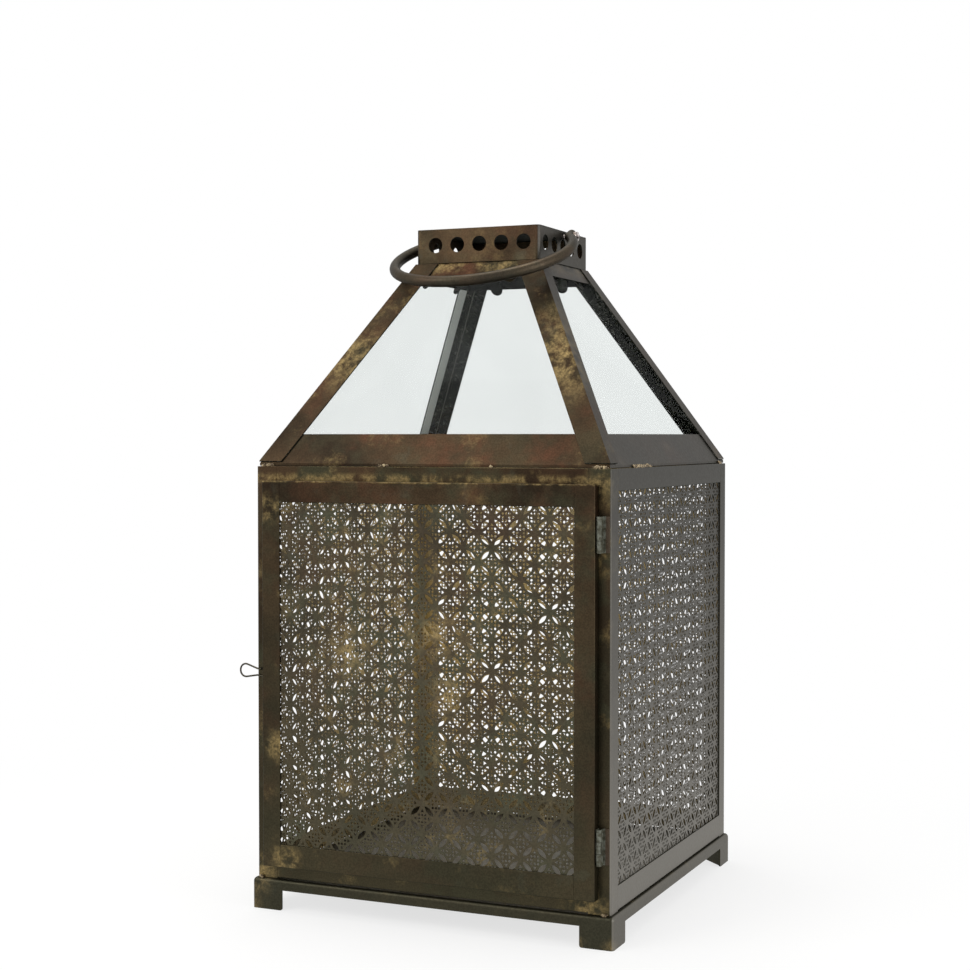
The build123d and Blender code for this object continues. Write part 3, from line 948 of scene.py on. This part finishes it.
def door_sheet_metal():
    """The door sheet's patina, with golden spots where it was rubbed."""
    low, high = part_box("door_panel")
    middle = (low + high) / 2
    rubbed = ((0.012, 0.036, 0.026), (0.020, -0.008, 0.020), (-0.060, 0.020, 0.026))
    return bronze(
        "Door sheet",
        seed=5.3,
        ochre=0.6,
        rust=0.3,
        olive=1.0,
        grey=0.2,
        shade=1.45,
        spots=[((x, middle.y, middle.z + z), radius) for x, z, radius in rubbed],
    )


def hip_metal():
    """The hips' patina: golden midway; underneath, a pale soldered line and spots with painted
    glints, and painted light on the back leaves that look to the right.
    """
    low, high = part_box("hip_front_right")
    middle = (low + high) / 2
    halves = ((middle.x, 0.060), (-middle.x, 0.042))
    material = bronze(
        "Hip bronze",
        seed=9.4,
        ochre=0.5,
        rust=0.5,
        olive=0.4,
        right_sheen=0.6,
        spots=[((x, middle.y, middle.z), radius) for x, radius in halves],
    )
    tree, shader, paint = opened(material)
    texture = own_place(tree)
    place = split(tree, texture)
    facing = face_way(tree)
    under = ramp(tree, facing[2], *DOWNWARDS)
    eave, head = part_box("roof_skirt_back"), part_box("roof_head_back")
    lean = (eave[1].y - head[1].y) / (head[0].z - eave[0].z)
    rise = calculate(tree, "SUBTRACT", place[2], eave[0].z)
    ridge = calculate(tree, "ADD", times(tree, rise, lean), -eave[1].y)
    across = calculate(tree, "SUBTRACT", place[0], ridge)
    away = calculate(tree, "ABSOLUTE", calculate(tree, "SUBTRACT", across, SOLDER_AWAY))
    # A pale soldered line, and pale spots as painted glints on it
    line = ramp(tree, away, *SOLDER_WIDTHS)
    solder_and_glints = calculate(tree, "MAXIMUM", line, cloud(tree, texture, *GLINTS))
    solder_and_glints = times(tree, times(tree, solder_and_glints, under), SOLDER_COVER)
    paint = blend_colour(tree, solder_and_glints, paint, tone("solder_and_glints"))
    # Painted light: undersides of the back leaves that look to the right, pale and not metallic
    turned = times(tree, ramp(tree, facing[0], *LIT_LEAF_WAYS), under)
    turned = times(tree, turned, ramp(tree, place[1], *PAST_MIDDLE))
    paint = blend_colour(tree, turned, paint, tone("painted_lit_leaf"))
    tree.links.new(paint, shader.inputs["Base Color"])
    dulled(tree, shader, turned)
    return material


def tray_metal():
    """The tray's patina outside, and a barer grey floor inside the lantern."""
    low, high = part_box("base_tray")
    corners = [(x, low.y, low.z, 0.012) for x in (low.x, high.x)]
    corners += [(high.x - 0.026, low.y, low.z, 0.010), (low.x, low.y, high.z, 0.022)]
    material = bronze(
        "Tray bronze",
        seed=3.1,
        ochre=0.25,
        rust=0.2,
        grey=0.2,
        shade=0.9,
        right_sheen=0.5,
        spots=[((x, y, z), radius) for x, y, z, radius in corners],
    )
    tree, shader, paint = opened(material)
    texture = own_place(tree)
    place = split(tree, texture)
    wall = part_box("panel_back")[1].x
    inside = calculate(tree, "GREATER_THAN", place[2], high.z - FLOOR_SKIN)
    for axis in (0, 1):
        away = calculate(tree, "ABSOLUTE", place[axis])
        inside = times(tree, inside, ramp(tree, away, wall, wall - FLOOR_FADE))
    zinc = blend_colour(tree, cloud(tree, texture, *ZINC), tone("zinc"), tone("dull_zinc"))
    paint = blend_colour(tree, inside, paint, zinc)
    tree.links.new(paint, shader.inputs["Base Color"])
    return material


def pane_glass():
    """Clean clear sheet glass: a pale tint, hardly uneven, with a thin shine."""
    tint = settings().finish.glass
    material, tree, shader = new_finish("Sheet glass")
    for name, value in (
        ("Base Color", (*tint, 1)),
        ("Transmission Weight", 1.0),
        ("Roughness", 0.12),
        ("IOR", 1.45),
        ("Specular IOR Level", 0.15),
    ):
        shader.inputs[name].default_value = value
    smear = cloud(tree, own_place(tree), *SMEAR)
    dusty = [part * 0.994 for part in tint]
    uneven = blend_colour(tree, smear, (*tint, 1), (*dusty, 1))
    clear = add_node(tree, "ShaderNodeBsdfTransparent", {0: uneven})
    blend_shaders(tree, PLAIN_PANE, shader, clear, "Material Output")
    return material


def worn_metal(name, hollow, rubbed, scale, metallic, roughness):
    """Lumpy metal: a dark skin in its hollows and a brighter tone where it is rubbed."""
    material, tree, shader = new_finish(name)
    skin = cloud(tree, own_place(tree), scale, 0.38, 0.66)
    paint = blend_colour(tree, skin, tone(hollow), tone(rubbed))
    tree.links.new(paint, shader.inputs["Base Color"])
    shader.inputs["Metallic"].default_value = metallic
    shader.inputs["Roughness"].default_value = roughness
    lumps = {"Strength": 0.8, "Distance": settings().finish.bump * 2, "Height": skin}
    bump = add_node(tree, "ShaderNodeBump", lumps)
    tree.links.new(bump.outputs[0], shader.inputs["Normal"])
    return material


def hinge_metal():
    """Pale crust on the knuckles, which ends where the leaf lies on the post."""
    material = worn_metal("Hinge crust", "olive", "crust", 300.0, 0.35, 0.55)
    tree, shader, paint = opened(material)
    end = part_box("hinge_pins")[1].x + CRUST_PAST
    foot = ramp(tree, split(tree, own_place(tree))[0], end, end + CRUST_FADE)
    paint = blend_colour(tree, foot, paint, tone("brown"))
    tree.links.new(paint, shader.inputs["Base Color"])
    return material


def dress(material, *names):
    """Gives nodes a finish."""
    for name in names:
        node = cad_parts[name]
        node.data.materials.clear()
        node.data.materials.append(material)


def softened(width, *names):
    """Takes the knife edge off the sheet ends of nodes."""
    for name in names:
        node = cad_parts[name]
        weld = node.modifiers.new("Weld", "WELD")
        weld.merge_threshold = SAME_CAD_POINT
        bevel = node.modifiers.new("Bevel", "BEVEL")
        bevel.width = width
        bevel.segments = 2
        bevel.limit_method = "ANGLE"
        bevel.angle_limit = SHARP


# Stage

WHITE = (1, 1, 1, 1)
WARM = (1.0, 0.985, 0.96)
COOL = (0.97, 0.985, 1.0)
LAMP_TARGET = Vector((0, 0, 0.25))

# Name, setting of the power, width and depth, place and tint of each lamp
LAMPS = (
    ("Key", "key_power", (1.4, 1.4), (-1.3, -1.7, 1.7), WARM),
    ("Fill", "fill_power", (1.2, 1.4), (2.0, -0.3, 0.8), COOL),
    ("Top", "top_power", (0.9, 0.9), (-0.2, 0.1, 1.9), WARM),
)


def aimed(name, data, place, direction):
    """An object that stands at a place and looks in a direction."""
    made = placed(name, data)
    made.location = place
    made.rotation_euler = Vector(direction).to_track_quat("-Z", "Y").to_euler()
    return made


def seen_plainly(tree):
    """One for the rays of the camera, mirrors and glass, which see plain white."""
    path = add_node(tree, "ShaderNodeLightPath").outputs
    seen = calculate(tree, "MAXIMUM", path["Is Camera Ray"], path["Is Glossy Ray"])
    return calculate(tree, "MAXIMUM", seen, path["Is Transmission Ray"])


def light_world(stage):
    """Even light from all round, before a plain white background."""
    world = bpy.data.worlds.new("Studio")
    world.use_nodes = True
    bpy.context.scene.world = world
    tree = world.node_tree
    light = tree.nodes["Background"]
    light.inputs[0].default_value = WHITE
    light.inputs[1].default_value = stage.ambient
    white = add_node(tree, "ShaderNodeBackground", {0: WHITE, 1: 1.0})
    blend_shaders(tree, seen_plainly(tree), light, white, "World Output")


def lay_floor(stage):
    """A pale floor that shows part of the lantern's shadow and fades to plain white."""
    half = stage.floor_half
    corners = [(-half, -half, 0), (half, -half, 0), (half, half, 0), (-half, half, 0)]
    mesh = bpy.data.meshes.new("Floor")
    mesh.from_pydata(corners, [], [(0, 1, 2, 3)])
    material, tree, shader = new_finish("Floor")
    shader.inputs["Base Color"].default_value = (*stage.floor, 1)
    shader.inputs["Roughness"].default_value = 0.9
    glow = add_node(tree, "ShaderNodeEmission", {0: WHITE, 1: 1.0})
    near = ball(tree, own_place(tree), (0, 0, 0), stage.shadow_reach)
    plain = times(tree, seen_plainly(tree), level(tree, near, 1.0, 1.0 - stage.shadow))
    blend_shaders(tree, plain, shader, glow, "Material Output")
    mesh.materials.append(material)
    placed("Floor", mesh)


def hang_lamps(stage):
    """Large soft lamps that look at the lantern."""
    for name, strength, size, place, tint in LAMPS:
        lamp = bpy.data.lights.new(name, "AREA")
        lamp.energy = getattr(stage, strength)
        lamp.shape = "RECTANGLE"
        lamp.size, lamp.size_y = size
        lamp.color = tint
        aimed(name, lamp, place, LAMP_TARGET - Vector(place))


def set_camera(stage):
    """The camera at the photograph's viewing angle."""
    camera = bpy.data.cameras.new("Camera")
    camera.lens = stage.lens
    camera.sensor_width = 36.0
    camera.clip_start = 0.01
    made = aimed("Camera", camera, stage.camera_place, stage.camera_aim)
    bpy.context.scene.camera = made


# Operators


class LANTERN_OT_sheets(bpy.types.Operator):
    """Make the four pierced sheets"""

    bl_idname = "lantern.sheets"
    bl_label = "Pierced sheets"

    def execute(self, context):
        shift = -settings().punch.side_shift
        edge = bronze("Cut edge", seed=4.0, ochre=0.0, rust=0.1, green=0.1, shade=0.35)
        door = door_sheet_metal()
        # The far sheets are painted brighter and take the painted light about the far corner
        far = lit_metal("Far sheets", seed=8.9, rust=0.2, olive=1.0, shade=1.5)
        # The right sheet's grey stands partly for the painted sheen of that side
        near = bronze("Right sheet", seed=2.2, ochre=0.0, rust=0.1, grey=0.6)
        rails = ("door_rail_bottom", "door_rail_top")
        pierced("front", "door_panel", "door", rails, 0.0, door, edge)
        for side, finish in (("right", near), ("back", far), ("left", far)):
            rails = ["rail_%s_%s" % (side, end) for end in ("bottom", "top")]
            pierced(side, "panel_" + side, "lantern", rails, shift, finish, edge)
        return {"FINISHED"}


class LANTERN_OT_body(bpy.types.Operator):
    """Finish the posts, the strips and the base tray"""

    bl_idname = "lantern.body"
    bl_label = "Body and base"

    def execute(self, context):
        door_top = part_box("door_stile_left")[1].z
        low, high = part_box("post_front_right")
        face = low.y
        spots = (
            ((high.x - 0.004, face, high.z - 0.012), 0.022),
            ((high.x - 0.003, face, high.z - 0.060), 0.020),
            ((high.x - 0.018, face, low.z + 0.006), 0.026),
            ((-high.x + 0.004, face, low.z + 0.004), 0.018),
        )
        seams = ((2, door_top + 2.0 * MM, 5.5 * MM),)
        front = bronze("Front bronze", seed=1.7, rust=0.2, olive=0.9, seams=seams, spots=spots)
        # The right side's grey stands partly for the painted sheen of that side
        side = bronze("Side bronze", seed=6.1, ochre=0.12, rust=0.2, grey=0.6)
        # The rear parts take the painted light about the far corner
        rear = lit_metal("Rear bronze", seed=7.7, ochre=0.4)
        dress(front, "post_front_left", "post_front_right", "rail_front_top", "rail_front_bottom")
        dress(side, "rail_right_top", "rail_right_bottom", "post_back_right")
        dress(rear, "post_back_left", "rail_back_top", "rail_back_bottom")
        dress(rear, "rail_left_top", "rail_left_bottom")
        dress(tray_metal(), "base_tray")
        posts = ["post_" + corner for corner in CORNERS]
        rails = ["rail_%s_%s" % (wall, end) for wall in SIDES for end in ("top", "bottom")]
        softened(settings().finish.strip_edge, *posts, *rails)
        return {"FINISHED"}


class LANTERN_OT_door(bpy.types.Operator):
    """Finish the door's frame"""

    bl_idname = "lantern.door"
    bl_label = "Door frame"

    def execute(self, context):
        low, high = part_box("door_stile_left")
        spots = (
            ((low.x + 0.006, low.y, high.z - 0.020), 0.016),
            ((low.x + 0.014, low.y, low.z + 0.090), 0.018),
            ((low.x + 0.020, low.y, low.z + 0.006), 0.018),
        )
        frame_metal = bronze(
            "Door bronze",
            seed=4.4,
            ochre=0.3,
            rust=0.5,
            shade=1.05,
            right_sheen=0.0,
            # A thin ochre line along the door's top edge, which also stands for a painted highlight
            # on that edge
            seams=((2, high.z, 1.6 * MM),),
            spots=spots,
        )
        names = ["door_stile_left", "door_stile_right", "door_rail_top", "door_rail_bottom"]
        dress(frame_metal, *names)
        softened(settings().finish.strip_edge, *names)
        return {"FINISHED"}


class LANTERN_OT_roof(bpy.types.Operator):
    """Finish the roof's strips and hips, its panes and their clips"""

    bl_idname = "lantern.roof"
    bl_label = "Roof and glass"

    def execute(self, context):
        hips = ["hip_" + corner for corner in CORNERS]
        strips = [part + side for part in ("roof_skirt_", "roof_head_") for side in SIDES]
        plain = bronze(
            "Roof bronze",
            seed=11.2,
            ochre=0.4,
            rust=0.8,
            olive=0.4,
            right_sheen=0.78,
            seams=((2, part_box("collar")[0].z - 3 * MM, 8 * MM),),
        )
        dress(hip_metal(), *hips)
        dress(plain, *strips)
        dress(bronze("Clip metal", seed=12.0, ochre=0.1, shade=0.6), "glass_clips")
        dress(pane_glass(), *["glass_" + side for side in SIDES])
        softened(settings().finish.strip_edge, *hips, *strips)
        return {"FINISHED"}


class LANTERN_OT_collar(bpy.types.Operator):
    """Finish the collar, its cap, the bail and its studs"""

    bl_idname = "lantern.collar"
    bl_label = "Collar and bail"

    def execute(self, context):
        collar = bronze("Collar bronze", seed=13.5, ochre=0.15, rust=0.3, olive=0.4, shade=1.6)
        dress(collar, "collar", "collar_cap")
        rod = bronze(
            "Rod bronze",
            seed=14.8,
            ochre=0.1,
            rust=0.25,
            olive=0.1,
            grey=0.25,
            shade=1.3,
            right_sheen=0.0,
            # Little painted shade under the rod
            under_shading=0.3,
        )
        dress(rod, "bail")
        stud = worn_metal("Nut metal", "brown", "nut", 260.0, 0.95, 0.25)
        dress(stud, "bail_studs", "bail_nuts")
        softened(settings().finish.collar_edge, "collar", "collar_cap", "bail_nuts")
        return {"FINISHED"}


class LANTERN_OT_hardware(bpy.types.Operator):
    """Finish the hinges and the wire latch"""

    bl_idname = "lantern.hardware"
    bl_label = "Hinges and latch"

    def execute(self, context):
        leaves = [
            "hinge_%s_%s_leaf" % (height, part)
            for height in ("lower", "upper")
            for part in ("post", "door")
        ]
        dress(hinge_metal(), *leaves, "hinge_pins")
        dress(bronze("Latch wire", seed=18.6, ochre=0.1, grey=0.5), "wire_latch")
        return {"FINISHED"}


class LANTERN_OT_welds(bpy.types.Operator):
    """Make the lumpy weld beads"""

    bl_idname = "lantern.welds"
    bl_label = "Welds"

    def execute(self, context):
        weld = settings().weld
        finish = worn_metal("Weld bead", "brown", "bead", 420.0, 0.6, 0.42)
        for index, name in enumerate(("roof_welds", "base_welds")):
            values = {
                "Lump Size": weld.lump_size,
                "Lump Step": weld.lump_step,
                "Seed": weld.seed + index,
                "Material": finish,
            }
            lumps = name + "_lumps"
            start = bead_lines(name, weld.end_gap)
            mesh = grown(lumps, weld_tree(values), values, start)
            piece(lumps, mesh, "lantern", name)
        return {"FINISHED"}


class LANTERN_OT_stage(bpy.types.Operator):
    """Set the camera, the light and the floor"""

    bl_idname = "lantern.stage"
    bl_label = "Stage"

    def execute(self, context):
        stage = settings().stage
        light_world(stage)
        lay_floor(stage)
        hang_lamps(stage)
        set_camera(stage)
        context.scene.view_settings.view_transform = "Standard"
        return {"FINISHED"}


class LANTERN_PT_panel(bpy.types.Panel):
    """The lantern's settings and steps"""

    bl_idname = "LANTERN_PT_panel"
    bl_label = "Lantern"
    bl_space_type = "VIEW_3D"
    bl_region_type = "UI"
    bl_category = "Lantern"

    def draw(self, context):
        layout = self.layout
        for group in ("punch", "finish", "weld", "stage"):
            box = layout.box()
            box.label(text=group.capitalize())
            values = getattr(context.scene.lantern, group)
            for name in values.bl_rna.properties.keys():
                if name not in ("rna_type", "name"):
                    box.prop(values, name)
        for step in STEPS:
            layout.operator(step.bl_idname)


STEPS = (
    LANTERN_OT_sheets,
    LANTERN_OT_body,
    LANTERN_OT_door,
    LANTERN_OT_roof,
    LANTERN_OT_collar,
    LANTERN_OT_hardware,
    LANTERN_OT_welds,
    LANTERN_OT_stage,
)
CLASSES = (
    PunchSettings,
    FinishSettings,
    WeldSettings,
    StageSettings,
    LanternSettings,
    *STEPS,
    LANTERN_PT_panel,
)


def register():
    """Makes the settings, the steps and the panel known to Blender."""
    for made in CLASSES:
        bpy.utils.register_class(made)
    bpy.types.Scene.lantern = PointerProperty(type=LanternSettings)


def unregister():
    """Takes them away again."""
    del bpy.types.Scene.lantern
    for made in reversed(CLASSES):
        bpy.utils.unregister_class(made)


def main():
    """Runs all steps in order."""
    register()
    for step in STEPS:
        group, name = step.bl_idname.split(".")
        getattr(getattr(bpy.ops, group), name)()


if __name__ == "__main__":
    main()
